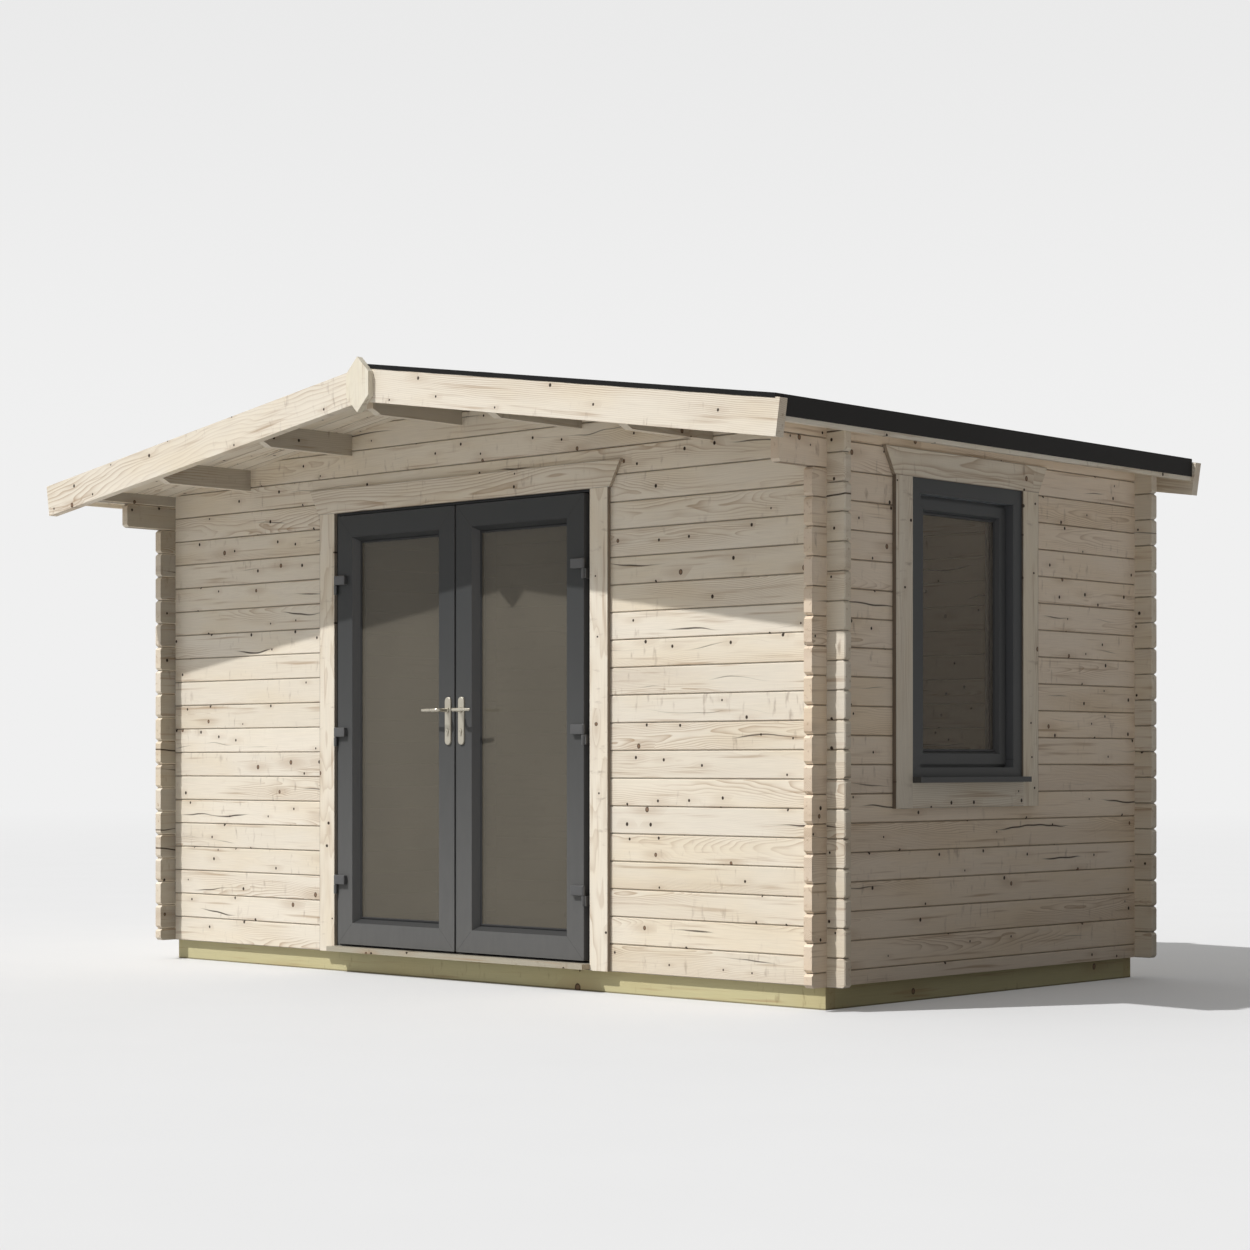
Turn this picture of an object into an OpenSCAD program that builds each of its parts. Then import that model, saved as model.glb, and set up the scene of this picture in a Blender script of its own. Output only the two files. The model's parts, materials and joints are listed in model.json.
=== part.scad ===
// Log cabin with a front canopy, double glazed doors and one side window.
// Millimetres. X runs along the front, Y runs from front to back, Z is up.
// The origin is on the ground under the middle of the four walls.

/* [Walls] */
// Width between the outer faces of the side walls
body_w = 4104; // [3400:2:5200]
// Depth between the outer faces of the front and back walls
body_d = 2220; // [2000:2:3600]
// Height that one log adds to a wall
course = 114; // [112:1:118]
// Thickness of a log
wall_t = 40; // [34:1:48]
// Courses from the base up to the eaves
wall_courses = 19; // [19:1:20]
// Length of a log end past the corner
log_end = 90; // [70:1:130]
// Depth of the V groove between two logs
groove = 5; // [3:0.5:6]
// Chamfer on the corners of a log end
end_chamfer = 13; // [8:1:16]
// Bevel on the upright edges of a log end
end_bevel = 4; // [2:0.5:6]
// Length of the last whole side log in front of the wall
corbel = 287; // [200:1:350]

/* [Base] */
// Height of the treated bearers under the walls
base_h = 92; // [80:1:150]
// Thickness of a bearer
bearer_t = 60; // [55:1:80]
// Distance from the wall face in to the bearer
base_inset = 29; // [15:1:32]
// Joists between the front and back bearers
joists = 9; // [6:1:10]
// Thickness of the floor boards
floor_t = 19; // [16:1:28]

/* [Roof] */
// Slope of the roof in degrees
roof_pitch = 8.5; // [6:0.5:14]
// Depth of the canopy, from the front wall to the back of its barge boards
canopy = 516; // [400:2:700]
// Width of the roof past the side walls, fascia included
eaves = 208; // [150:1:300]
// Thickness of the tongued roof boards
board_t = 19; // [16:1:22]
// Cover width of one roof board
board_w = 94; // [80:1:140]
// Thickness of the insulation on the boards
insulation_t = 56; // [40:1:80]
// Thickness of the felt
felt_t = 5; // [4:0.5:8]
// Depth of the felt that is folded down at the eaves
felt_fold = 76; // [50:1:90]
// Gap left between two layers of the roof that lie on each other
layer_gap = 0.05; // [0.02:0.01:0.2]
// Height of the fascia boards
fascia_h = 90; // [80:1:110]
// Thickness of the fascia boards
fascia_t = 19; // [16:1:25]
// Height of the barge boards
barge_h = 143; // [125:1:170]
// Thickness of the barge boards
barge_t = 44; // [35:1:50]
// Distance that the barge boards hang below the roof boards
barge_drop = 75; // [50:1:85]
// Length of the barge boards past the fascia
barge_past = 24; // [10:1:40]
// Width of the purlins
purlin_w = 40; // [35:1:60]
// Height of the side purlins
purlin_h = 94; // [80:1:110]
// Height of the ridge purlin
ridge_h = 125; // [110:1:150]
// Width of the finial
finial_w = 140; // [100:1:170]
// Height of the finial
finial_h = 234; // [200:1:280]
// Thickness of the finial
finial_t = 28; // [20:1:35]

/* [Doors] */
// Width of the opening in the logs for the door frame
door_w = 1650; // [1500:2:1800]
// Height of that opening
door_h = 2026; // [1960:1:2040]
// Face width of the door frame
jamb = 35; // [30:1:45]
// Depth of the door frame
jamb_d = 70; // [60:1:80]
// Gap above a leaf and half the gap between the leaves; beside a leaf it is twice as wide
leaf_gap = 6; // [5:0.5:8]
// Thickness of a leaf
leaf_t = 60; // [56:1:66]
// Distance that a closed leaf stands in front of the wall
leaf_proud = 22; // [18:1:32]
// Face width of the rails and stiles of a leaf
stile = 98; // [80:1:120]
// Width of the sloping bead around the glass
bead = 18; // [12:1:24]
// Depth from the face of a leaf to its glass
glass_set = 37; // [25:1:38]
// Thickness of the sealed glass units
glass_t = 20; // [16:1:22]
// Width of the boards around the door
trim_w = 102; // [80:1:120]
// Thickness of the boards around the door and window
trim_t = 18; // [14:1:20]
// Distance that the splayed ends of the head boards lean out
splay = 62; // [40:1:80]

/* [Door fittings] */
// Distance from the ends of a leaf to the middle of its outer flags
hinge_in = 292; // [200:1:400]
// Height of one half of a hinge
hinge_half = 42; // [35:1:50]
// Distance that the middle flag sits below the middle of a leaf
hinge_low = 10; // [0:1:30]
// Radius of the hinge knuckles
knuckle_r = 8; // [7:0.5:9]
// Radius of the hinge pins
pin_r = 4; // [3:0.5:5]
// Clearance around pins and spindles
pin_gap = 0.5; // [0.3:0.1:0.8]
// Width of a handle plate
plate_w = 37; // [30:1:40]
// Height of a handle plate
plate_h = 210; // [180:1:240]
// Thickness of a handle plate
plate_t = 8; // [6:1:10]
// Height of the levers above the underside of the walls
lever_z = 1092; // [950:1:1150]
// Length of a lever from its spindle
lever_l = 104; // [90:1:120]
// Distance from the face of a leaf to the middle of the lever
lever_out = 64; // [50:1:70]
// Radius of a lever
lever_r = 8; // [6:0.5:9]

/* [Window] */
// Width of the window between its side boards
window_w = 768; // [600:2:900]
// Height of the window between its sill and its head board
window_h = 1196; // [900:2:1200]
// Distance from the front of the cabin to the middle of the window
window_y = 908; // [880:1:1100]
// Distance that the window frame stands out from the wall
frame_out = 10; // [0:1:14]
// Face width of the window frame at its top and sides
window_stile = 62; // [50:1:90]
// Face width of the window frame above the sill
window_foot = 38; // [30:1:50]
// Depth from the face of the frame to the sash
sash_set = 30; // [20:1:36]
// Face width of the sash with its shadow groove
sash_stile = 57; // [50:1:75]
// Thickness of the sash
sash_t = 68; // [60:1:75]
// Width of the shadow groove between the frame and the sash
sash_groove = 14; // [8:1:18]
// Width of the sloping bead around the window glass
sash_bead = 8; // [4:1:14]
// Depth from the face of the sash to its glass
sash_glass_set = 22; // [15:1:30]
// Width of the boards at the sides of the window
window_trim = 110; // [80:1:115]
// Distance that the sill stands out from the wall
sill_out = 60; // [40:1:80]
// Thickness of the sill
sill_t = 22; // [16:1:28]
// Distance that the side boards run on below the window
trim_below = 124; // [100:1:180]

/* [Hidden] */
$fn = 48;
eps = 1;
far = 9000;

front = -body_d / 2;
back = body_d / 2;
side = body_w / 2;
logs_w = body_w + 2 * log_end;
logs_d = body_d + 2 * log_end;
slope = tan(roof_pitch);
upright = 1 / cos(roof_pitch);

// Heights above the ground
floor_z = base_h + floor_t;
eaves_z = base_h + wall_courses * course - 12;
ridge_z = eaves_z + slope * side;
corbel_z = base_h + (wall_courses - 1.5) * course;
plate_z = base_h + (wall_courses - 0.5) * course;
gable_z = base_h + floor(door_h / course) * course;

// Ends of the roof
canopy_y = front - canopy;
roof_back = back + log_end;
fascia_x = side + eaves;
board_x = fascia_x - fascia_t;
barge_x = fascia_x + barge_past;
lean = barge_h * sin(roof_pitch);

purlin_x = [side * 0.354, side * 0.708];

// Door, seen from the front
leaf_side = door_w / 2 - jamb - 2 * leaf_gap;
leaf_meet = leaf_gap;
leaf_w = leaf_side - leaf_meet;
leaf_z0 = base_h + 38;
leaf_z1 = base_h + door_h - jamb - leaf_gap;
leaf_h = leaf_z1 - leaf_z0;
leaf_y = front - leaf_proud;
sill_z = base_h + 5;
threshold_t = 22;
threshold_out = 65;
trim_x = door_w / 2 - 16;
trim_top = base_h + door_h - 25;
head_h = 112;
hinge_x = leaf_side + leaf_gap;
hinge_y = leaf_y - knuckle_r - 1;
hinge_zs = [for (z = [leaf_z0 + hinge_in, (leaf_z0 + leaf_z1) / 2 - hinge_low, leaf_z1 - hinge_in])
    z - hinge_half / 2];
lever_x = leaf_meet + plate_w / 2 + 17.5;
plate_top = base_h + lever_z + 58;

// Window, measured from the front of the cabin and from the ground
window_z1 = trim_top;
window_z0 = window_z1 - window_h;
window_y0 = front + window_y - window_w / 2;
window_y1 = window_y0 + window_w;
frame_lap = 10;

// ---- Drawing helpers ----

// A flat (Y, Z) shape pushed along X.
module along_x(x0, x1)
    translate([x0, 0, 0]) rotate([90, 0, 90]) linear_extrude(x1 - x0) children();

// A flat (X, Z) shape pushed along Y.
module along_y(y0, y1)
    translate([0, y1, 0]) rotate([90, 0, 0]) linear_extrude(y1 - y0) children();

// A flat (X, Y) shape pushed up.
module along_z(z0, z1)
    translate([0, 0, z0]) linear_extrude(z1 - z0) children();

module box(x0, x1, y0, y1, z0, z1)
    translate([x0, y0, z0]) cube([x1 - x0, y1 - y0, z1 - z0]);

module rect(u0, u1, v0, v1)
    translate([u0, v0]) square([u1 - u0, v1 - v0]);

// The same piece on the other side of the cabin.
module other_side() mirror([1, 0, 0]) children();

// Height of the underside of the roof boards, as a function of x.
function roof_z(x) = ridge_z - slope * abs(x);

// ---- Logs ----

// Section of a log wall from z0 to z1: a V groove on both faces at every joint.
// offset is 0 where the wall starts on a whole log and 0.5 on a half log.
function joints(offset, z0, z1) =
    [for (i = [1 - offset : 1 : wall_courses + 6])
        if (base_h + i * course > z0 + groove && base_h + i * course < z1 - groove) base_h + i * course];

// A section that starts or stops on a joint has half a groove there.
module log_section(u0, u1, offset, z0, z1)
    polygon(concat(
        z0 > base_h ? [[u0 + groove, z0], [u0, z0 + groove]] : [[u0, z0]],
        [for (z = joints(offset, z0, z1), p = [[u0, z - groove], [u0 + groove, z], [u0, z + groove]]) p],
        z1 == gable_z ? [[u0, z1 - groove], [u0 + groove, z1], [u1 - groove, z1], [u1, z1 - groove]]
                      : [[u0, z1], [u1, z1]],
        [for (z = reverse(joints(offset, z0, z1)),
              p = [[u1, z + groove], [u1 - groove, z], [u1, z - groove]]) p],
        z0 > base_h ? [[u1, z0 + groove], [u1 - groove, z0]] : [[u1, z0]]
    ));

function reverse(list) = [for (i = [len(list) - 1 : -1 : 0]) list[i]];

// Side view of one log with chamfered ends, cut off at z1.
module log_side(u0, u1, z0, z1)
    polygon([
        [u0 + end_chamfer, z0], [u1 - end_chamfer, z0], [u1, z0 + end_chamfer],
        [u1, z1 - end_chamfer], [u1 - end_chamfer, z1], [u0 + end_chamfer, z1],
        [u0, z1 - end_chamfer], [u0, z0 + end_chamfer]
    ]);

// Plan of a wall: its upright edges are bevelled at the log ends.
module log_plan(u0, u1, v0, v1)
    polygon([
        [u0 + end_bevel, v0], [u1 - end_bevel, v0], [u1, v0 + end_bevel],
        [u1, v1 - end_bevel], [u1 - end_bevel, v1], [u0 + end_bevel, v1],
        [u0, v1 - end_bevel], [u0, v0 + end_bevel]
    ]);

// Side view of the front or back wall below the roof, with the notches
// that the side logs fill at both corners.
module gable_side(z0, z1)
    difference() {
        intersection() {
            union()
                for (k = [0 : wall_courses + 5])
                    if (base_h + k * course >= z0 - eps && base_h + k * course < z1)
                        log_side(-logs_w / 2, logs_w / 2, base_h + k * course, base_h + (k + 1) * course);
            polygon([
                [-logs_w, z0], [logs_w, z0], [logs_w, z0 + eps], [logs_w / 2 + eps, roof_z(logs_w / 2 + eps)],
                [0, ridge_z], [-logs_w / 2 - eps, roof_z(logs_w / 2 + eps)], [-logs_w, z0 + eps]
            ]);
            rect(-far, far, z0, z1);
        }
        for (s = [-1, 1], k = [0 : wall_courses])
            rect(s * (side - wall_t / 2) - wall_t / 2, s * (side - wall_t / 2) + wall_t / 2,
                 base_h + (k - 0.25) * course, base_h + (k + (k == wall_courses ? 1 : 0.25)) * course);
        purlin_pockets();
    }

// Pockets that hold the purlins in a gable.
module purlin_pockets() {
    rect(-purlin_w / 2, purlin_w / 2, ridge_z - ridge_h, far);
    for (s = [-1, 1], x = purlin_x)
        rect(s * x - purlin_w / 2, s * x + purlin_w / 2, roof_z(x) - purlin_h, far);
}

module gable_wall(y0, z0, z1)
    intersection() {
        along_x(-logs_w / 2, logs_w / 2) log_section(y0, y0 + wall_t, 0, z0, min(z1, ridge_z));
        along_y(y0, y0 + wall_t) gable_side(z0, z1);
        along_z(0, far) log_plan(-logs_w / 2, logs_w / 2, y0, y0 + wall_t);
    }

module front_wall_right() color("wheat")
    intersection() {
        gable_wall(front, base_h, gable_z);
        box(door_w / 2, far, front - eps, front + wall_t + eps, 0, gable_z);
    }

module front_wall_left() other_side() front_wall_right();

module front_wall_gable() color("wheat")
    difference() {
        gable_wall(front, gable_z, ridge_z);
        box(-door_w / 2, door_w / 2, front - eps, front + wall_t + eps, 0, base_h + door_h);
    }

module back_wall() color("wheat") gable_wall(back - wall_t, base_h, ridge_z);

// Side view of a side wall: log ends at the corners, then the corbel log and
// the half log that reach out under the canopy.
module side_wall_side()
    difference() {
        union() {
            for (k = [0 : wall_courses - 2])
                log_side(-logs_d / 2, logs_d / 2, base_h + (k == 0 ? 0 : k - 0.5) * course,
                         base_h + (k + 0.5) * course);
            log_side(front - corbel, back + log_end, corbel_z, plate_z);
            rect(canopy_y, roof_back, plate_z, far);
        }
        for (y = [front + wall_t / 2, back - wall_t / 2], k = [0 : wall_courses - 1])
            rect(y - wall_t / 2, y + wall_t / 2,
                 base_h + (k + 0.25) * course, base_h + (k + 0.75) * course);
    }

module side_wall()
    intersection() {
        along_y(canopy_y, roof_back) intersection() {
            log_section(side - wall_t, side, 0.5, base_h, eaves_z + course);
            polygon([[0, 0], [far, 0], [far, roof_z(far)], [0, ridge_z]]);
        }
        along_x(side - wall_t, side) side_wall_side();
    }

module left_wall() color("wheat") other_side() side_wall();

module right_wall() color("wheat")
    difference() {
        side_wall();
        box(side - wall_t - eps, side + eps, window_y0 - frame_lap, window_y1 + frame_lap,
            window_z0 - sill_t, window_z1 + frame_lap);
    }

// ---- Base and floor ----

base_x = side - base_inset;
base_y = back - base_inset;

// The long bearers under the front and back walls.
module base_bearers() color("darkkhaki")
    for (y = [-base_y, base_y - bearer_t])
        box(-base_x, base_x, y, y + bearer_t, 0, base_h);

// The short bearers under the side walls, with the joists between them.
module base_joists() color("darkkhaki") {
    pitch = (2 * base_x - bearer_t) / (joists + 1);
    for (i = [0 : joists + 1]) {
        x = -base_x + bearer_t / 2 + i * pitch;
        half = (i == 0 || i == joists + 1) ? bearer_t / 2 : 23;
        box(x - half, x + half, bearer_t - base_y, base_y - bearer_t, 0, base_h);
    }
}

module floor() color("burlywood")
    along_z(base_h, floor_z) difference() {
        rect(wall_t - side, side - wall_t, front + wall_t, back - wall_t);
        rect(-door_w / 2, door_w / 2, front, front + jamb_d);
    }

// ---- Roof ----

module purlin(x, h)
    intersection() {
        along_y(canopy_y, roof_back) intersection() {
            rect(x - purlin_w / 2, x + purlin_w / 2, roof_z(x) - h, far);
            polygon([[-far, 0], [far, 0], [far, roof_z(far)], [0, ridge_z], [-far, roof_z(far)]]);
        }
        along_x(x - purlin_w / 2, x + purlin_w / 2)
            polygon([
                [canopy_y, roof_z(x) - h + 22], [canopy_y + 45, roof_z(x) - h],
                [roof_back, roof_z(x) - h], [roof_back, far], [canopy_y, far]
            ]);
    }

module ridge_purlin() color("tan") purlin(0, ridge_h);
module right_purlins() color("tan") for (x = purlin_x) purlin(x, purlin_h);
module left_purlins() color("tan") other_side() for (x = purlin_x) purlin(x, purlin_h);

// Places a (slope length, up) shape on the right slope: the origin is on the
// ridge, on the underside of the roof boards.
module on_slope() translate([0, 0, ridge_z + layer_gap]) rotate([0, roof_pitch, 0]) children();

// Tongued boards from ridge to eaves, with a V joint below between two boards.
module right_roof_boards() color("burlywood")
    intersection() {
        on_slope() along_x(-50, board_x * upright)
            polygon(concat(
                [[roof_back, 0], [roof_back, board_t], [canopy_y, board_t], [canopy_y, 0]],
                [for (y = [canopy_y + board_w : board_w : roof_back - 10],
                      p = [[y - 3, 0], [y, 3], [y + 3, 0]]) p]
            ));
        box(0, far, canopy_y, roof_back, 0, far);
        box(0, board_x, canopy_y, roof_back, 0, far);
    }

module left_roof_boards() other_side() right_roof_boards();

// Where the layers above the boards start: each lies a layer_gap higher.
insulation_n = board_t + 2 * layer_gap;
felt_n = insulation_n + insulation_t + layer_gap;

// A (X, Z) band of the roof between two depths above the roof boards' underside.
module roof_band(n0, n1, x1)
    polygon([
        [0, ridge_z + n0 * upright], [x1, roof_z(x1) + n0 * upright],
        [x1, roof_z(x1) + n1 * upright], [0, ridge_z + n1 * upright]
    ]);

module roof_insulation() color("gainsboro")
    along_y(canopy_y, roof_back) {
        roof_band(insulation_n, insulation_n + insulation_t, board_x);
        mirror([1, 0]) roof_band(insulation_n, insulation_n + insulation_t, board_x);
    }

// The felt lies on the insulation and folds down over the fascia.
module right_roof_felt() color("dimgray") {
    x1 = fascia_x + felt_t;
    top = roof_z(x1) + (felt_n + felt_t) * upright;
    along_y(canopy_y, roof_back) {
        roof_band(felt_n, felt_n + felt_t, x1);
        rect(fascia_x, x1, top - felt_fold, top - 2);
    }
}

module left_roof_felt() other_side() right_roof_felt();

module right_fascia() color("tan")
    along_y(canopy_y, roof_back) {
        z1 = roof_z(fascia_x) + (board_t + insulation_t) * upright;
        rise = slope * fascia_t;
        polygon([
            [board_x, z1 - fascia_h], [fascia_x, z1 - fascia_h], [fascia_x, z1], [board_x, z1 + rise]
        ]);
    }

module left_fascia() other_side() right_fascia();

// A board along the verge, cut plumb at the ridge and square at the eaves.
module barge_board(y0)
    along_y(y0, y0 + barge_t) {
        z0 = ridge_z - barge_drop * upright;
        z1 = z0 + barge_h * upright;
        polygon([
            [0, z0], [barge_x - lean, z0 - slope * (barge_x - lean)],
            [barge_x, z1 - slope * barge_x], [0, z1]
        ]);
    }

module right_barge_boards() color("wheat") {
    barge_board(canopy_y - barge_t);
    barge_board(roof_back);
}

module left_barge_boards() other_side() right_barge_boards();

// Long six-sided boards over the joint of the barge boards, front and back.
module finials() color("wheat")
    for (y = [canopy_y - barge_t - finial_t, roof_back + barge_t])
        along_y(y, y + finial_t) {
            z0 = ridge_z - 124;
            z1 = z0 + finial_h;
            half = finial_w / 2;
            polygon([
                [0, z0], [half, z0 + 67], [half, z1 - 67],
                [0, z1], [-half, z1 - 67], [-half, z0 + 67]
            ]);
        }

// ---- Doors ----

module door_frame() color("dimgray") {
    z1 = base_h + door_h;
    clear = door_w / 2 - jamb;
    difference() {
        box(-door_w / 2, door_w / 2, front, front + jamb_d, base_h, z1);
        box(-clear, clear, front - eps, front + jamb_d + eps, base_h + 30, z1 - jamb);
    }
    // Stop behind the leaves
    stop_y = leaf_y + leaf_t + leaf_gap;
    difference() {
        box(-clear - eps, clear + eps, stop_y, front + jamb_d, base_h + 30 - eps, z1 - jamb + eps);
        box(-clear + 25, clear - 25, stop_y - eps, front + jamb_d + eps, base_h, z1 - jamb - 25);
    }
}

// The timber board in front of the frame, between the side trims.
module door_threshold() color("tan")
    box(-trim_x, trim_x, front - threshold_out, front, sill_z, sill_z + threshold_t);

module door_side_trims() color("wheat")
    for (s = [-1, 1])
        box(s > 0 ? trim_x : -trim_x - trim_w, s > 0 ? trim_x + trim_w : -trim_x,
            front - trim_t, front, base_h, trim_top);

// Board over an opening, wider at the top than at the bottom.
module head_shape(half)
    polygon([[-half, 0], [half, 0], [half + splay, head_h], [-half - splay, head_h]]);

module door_head_trim() color("wheat")
    along_y(front - trim_t, front) translate([0, trim_top]) head_shape(trim_x + trim_w + 8);

// Opening with sloping beads: both sections narrow over the first `depth`.
module beaded_opening(u0, u1, v0, v1, inset, depth, through) {
    taper = inset / depth;
    intersection() {
        rotate([90, 0, 90]) translate([0, 0, u0])
            linear_extrude(u1 - u0)
                polygon([[-eps, v0 - taper * eps], [depth, v0 + inset],
                         [depth, v1 - inset], [-eps, v1 + taper * eps]]);
        translate([0, 0, v0])
            linear_extrude(v1 - v0)
                polygon([[u0 - taper * eps, -eps], [u0 + inset, depth],
                         [u1 - inset, depth], [u1 + taper * eps, -eps]]);
    }
    box(u0 + inset, u1 - inset, depth - eps, through, v0 + inset, v1 - inset);
}

// The left leaf, closed. The right leaf is its mirror image.
module leaf()
    difference() {
        box(-leaf_side, -leaf_meet, leaf_y, leaf_y + leaf_t, leaf_z0, leaf_z1);
        translate([0, leaf_y, 0])
            beaded_opening(-leaf_side + stile, -leaf_meet - stile, leaf_z0 + stile, leaf_z1 - stile,
                           bead, glass_set, leaf_t + eps);
        translate([-lever_x, leaf_y - eps, base_h + lever_z]) rotate([-90, 0, 0])
            cylinder(r = pin_r + pin_gap, h = leaf_t + 2 * eps);
    }

module leaf_glass()
    box(-leaf_side + stile + bead, -leaf_meet - stile - bead,
        leaf_y + glass_set, leaf_y + glass_set + glass_t,
        leaf_z0 + stile + bead, leaf_z1 - stile - bead);

module left_door_leaf() color("dimgray") leaf();
module right_door_leaf() color("dimgray") other_side() leaf();
module left_door_glass() color("silver", 0.5) leaf_glass();
module right_door_glass() color("silver", 0.5) other_side() leaf_glass();

// Upper half of a hinge: a knuckle with its flag plate on the face of the leaf.
module flags()
    for (z = hinge_zs)
        difference() {
            union() {
                translate([-hinge_x, hinge_y, z]) cylinder(r = knuckle_r, h = hinge_half);
                box(-hinge_x, -hinge_x + 68, leaf_y - 12, leaf_y, z, z + hinge_half);
            }
            translate([-hinge_x, hinge_y, z - eps]) cylinder(r = pin_r + pin_gap, h = hinge_half - 4);
        }

module left_hinge_flags() color("dimgray") flags();
module right_hinge_flags() color("dimgray") other_side() flags();

// Lower half of every hinge: knuckle, pin and the arm back to the frame.
module pins()
    for (z = hinge_zs) {
        translate([-hinge_x, hinge_y, z - 1 - hinge_half]) {
            cylinder(r = knuckle_r, h = hinge_half);
            cylinder(r = pin_r, h = hinge_half + 1 + hinge_half - 8);
        }
        box(-hinge_x - knuckle_r - 6, -hinge_x - 1, hinge_y, front, z - 1 - hinge_half, z - 1);
    }

module hinge_pins() color("dimgray") { pins(); other_side() pins(); }

// Long plates with round ends on both faces of a leaf.
module plate(y0)
    difference() {
        along_y(y0, y0 + plate_t) {
            for (z = [plate_top - plate_w / 2, plate_top - plate_h + plate_w / 2])
                translate([-lever_x, z]) circle(d = plate_w);
            rect(-lever_x - plate_w / 2, -lever_x + plate_w / 2,
                 plate_top - plate_h + plate_w / 2, plate_top - plate_w / 2);
        }
        translate([-lever_x, y0 - eps, base_h + lever_z]) rotate([-90, 0, 0])
            cylinder(r = pin_r + pin_gap, h = plate_t + 2 * eps);
    }

module plates() {
    plate(leaf_y - plate_t);
    plate(leaf_y + leaf_t);
}

module left_handle_plates() color("silver") plates();
module right_handle_plates() color("silver") other_side() plates();

// Levers on both faces, joined by the spindle through the leaf.
module lever() {
    inside = leaf_t + lever_out;
    translate([-lever_x, leaf_y, base_h + lever_z]) {
        translate([0, -lever_out, 0]) rotate([-90, 0, 0]) cylinder(r = pin_r, h = lever_out + inside);
        for (y = [-lever_out, inside]) {
            y_neck = y < 0 ? -lever_out : leaf_t + plate_t + 1;
            translate([0, y_neck, 0]) rotate([-90, 0, 0]) cylinder(r = lever_r, h = lever_out - plate_t - 1);
            translate([0, y, 0]) sphere(r = lever_r);
            translate([0, y, 0]) rotate([0, -90, 0]) cylinder(r = lever_r, h = lever_l);
            translate([-lever_l, y, 0]) sphere(r = lever_r);
        }
    }
}

module left_lever() color("silver") lever();
module right_lever() color("silver") other_side() lever();

// ---- Window in the right wall ----

// The glass opening of the sash, measured as [y0, y1, z0, z1].
sash_x = side + frame_out - sash_set;
sash_y0 = window_y0 + window_stile;
sash_y1 = window_y1 - window_stile;
sash_z0 = window_z0 + window_foot;
sash_z1 = window_z1 - window_stile;

module window_frame() color("dimgray")
    difference() {
        union() {
            box(sash_x - sash_t, side, window_y0 - frame_lap, window_y1 + frame_lap,
                window_z0, window_z1 + frame_lap);
            box(sash_x - sash_t, side + frame_out, window_y0, window_y1, window_z0, window_z1);
        }
        box(sash_x - sash_t - eps, side + frame_out + eps, sash_y0, sash_y1, sash_z0, sash_z1);
    }

// Right sash seen from outside: a bead slopes down to the glass, and a groove
// runs round the face.
module window_sash() color("dimgray")
    difference() {
        box(sash_x - sash_t, sash_x, sash_y0, sash_y1, sash_z0, sash_z1);
        translate([sash_x, 0, 0]) rotate([0, 0, 90])
            beaded_opening(sash_y0 + sash_stile, sash_y1 - sash_stile,
                           sash_z0 + sash_stile, sash_z1 - sash_stile,
                           sash_bead, sash_glass_set, sash_t + eps);
        difference() {
            box(sash_x - sash_groove, sash_x + eps, sash_y0 - eps, sash_y1 + eps, sash_z0 - eps, sash_z1 + eps);
            box(sash_x - sash_groove - eps, sash_x + 2 * eps, sash_y0 + sash_groove, sash_y1 - sash_groove,
                sash_z0 + sash_groove, sash_z1 - sash_groove);
        }
    }

module window_glass() color("silver", 0.5)
    box(sash_x - sash_glass_set - glass_t, sash_x - sash_glass_set,
        sash_y0 + sash_stile + sash_bead, sash_y1 - sash_stile - sash_bead,
        sash_z0 + sash_stile + sash_bead, sash_z1 - sash_stile - sash_bead);

module window_sill() color("dimgray") {
    box(side - wall_t, side, window_y0 - frame_lap, window_y1 + frame_lap, window_z0 - sill_t, window_z0);
    box(side - wall_t, side + sill_out, window_y0, window_y1, window_z0 - sill_t, window_z0);
}

module window_side_trims() color("wheat")
    for (y = [window_y0 - window_trim, window_y1])
        box(side, side + trim_t, y, y + window_trim, window_z0 - trim_below, window_z1);

module window_head_trim() color("wheat")
    along_x(side, side + trim_t)
        translate([(window_y0 + window_y1) / 2, window_z1])
            head_shape(window_w / 2 + window_trim + 4);

module window_apron() color("wheat")
    box(side, side + trim_t, window_y0, window_y1, window_z0 - trim_below, window_z0 - sill_t);

base_bearers();
base_joists();
floor();
front_wall_left();
front_wall_right();
front_wall_gable();
left_wall();
right_wall();
back_wall();
ridge_purlin();
left_purlins();
right_purlins();
left_roof_boards();
right_roof_boards();
roof_insulation();
left_roof_felt();
right_roof_felt();
left_fascia();
right_fascia();
left_barge_boards();
right_barge_boards();
finials();
door_frame();
door_threshold();
door_side_trims();
door_head_trim();
hinge_pins();
left_door_leaf();
left_door_glass();
left_hinge_flags();
left_handle_plates();
left_lever();
right_door_leaf();
right_door_glass();
right_hinge_flags();
right_handle_plates();
right_lever();
window_frame();
window_sash();
window_glass();
window_sill();
window_side_trims();
window_head_trim();
window_apron();
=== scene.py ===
import json
import math

import bmesh
import bpy
import numpy as np
from bpy.props import FloatProperty, FloatVectorProperty, PointerProperty
from bpy.types import Operator, Panel, PropertyGroup
from mathutils import Matrix, Vector


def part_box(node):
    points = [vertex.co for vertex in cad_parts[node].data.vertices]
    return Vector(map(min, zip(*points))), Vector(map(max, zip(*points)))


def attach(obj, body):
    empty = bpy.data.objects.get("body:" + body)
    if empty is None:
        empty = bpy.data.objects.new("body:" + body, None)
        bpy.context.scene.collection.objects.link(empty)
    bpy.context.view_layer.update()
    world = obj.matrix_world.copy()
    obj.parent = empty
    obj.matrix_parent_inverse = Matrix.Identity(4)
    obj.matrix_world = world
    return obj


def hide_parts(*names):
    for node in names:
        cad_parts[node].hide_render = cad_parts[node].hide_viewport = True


bl_info = {
    "name": "Log Cabin Finish",
    "version": (1, 0, 0),
    "blender": (4, 5, 0),
    "location": "View3D > Sidebar > Cabin",
    "description": "Finishes, fittings and stage of a small garden log cabin",
    "category": "Object",
}

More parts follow.
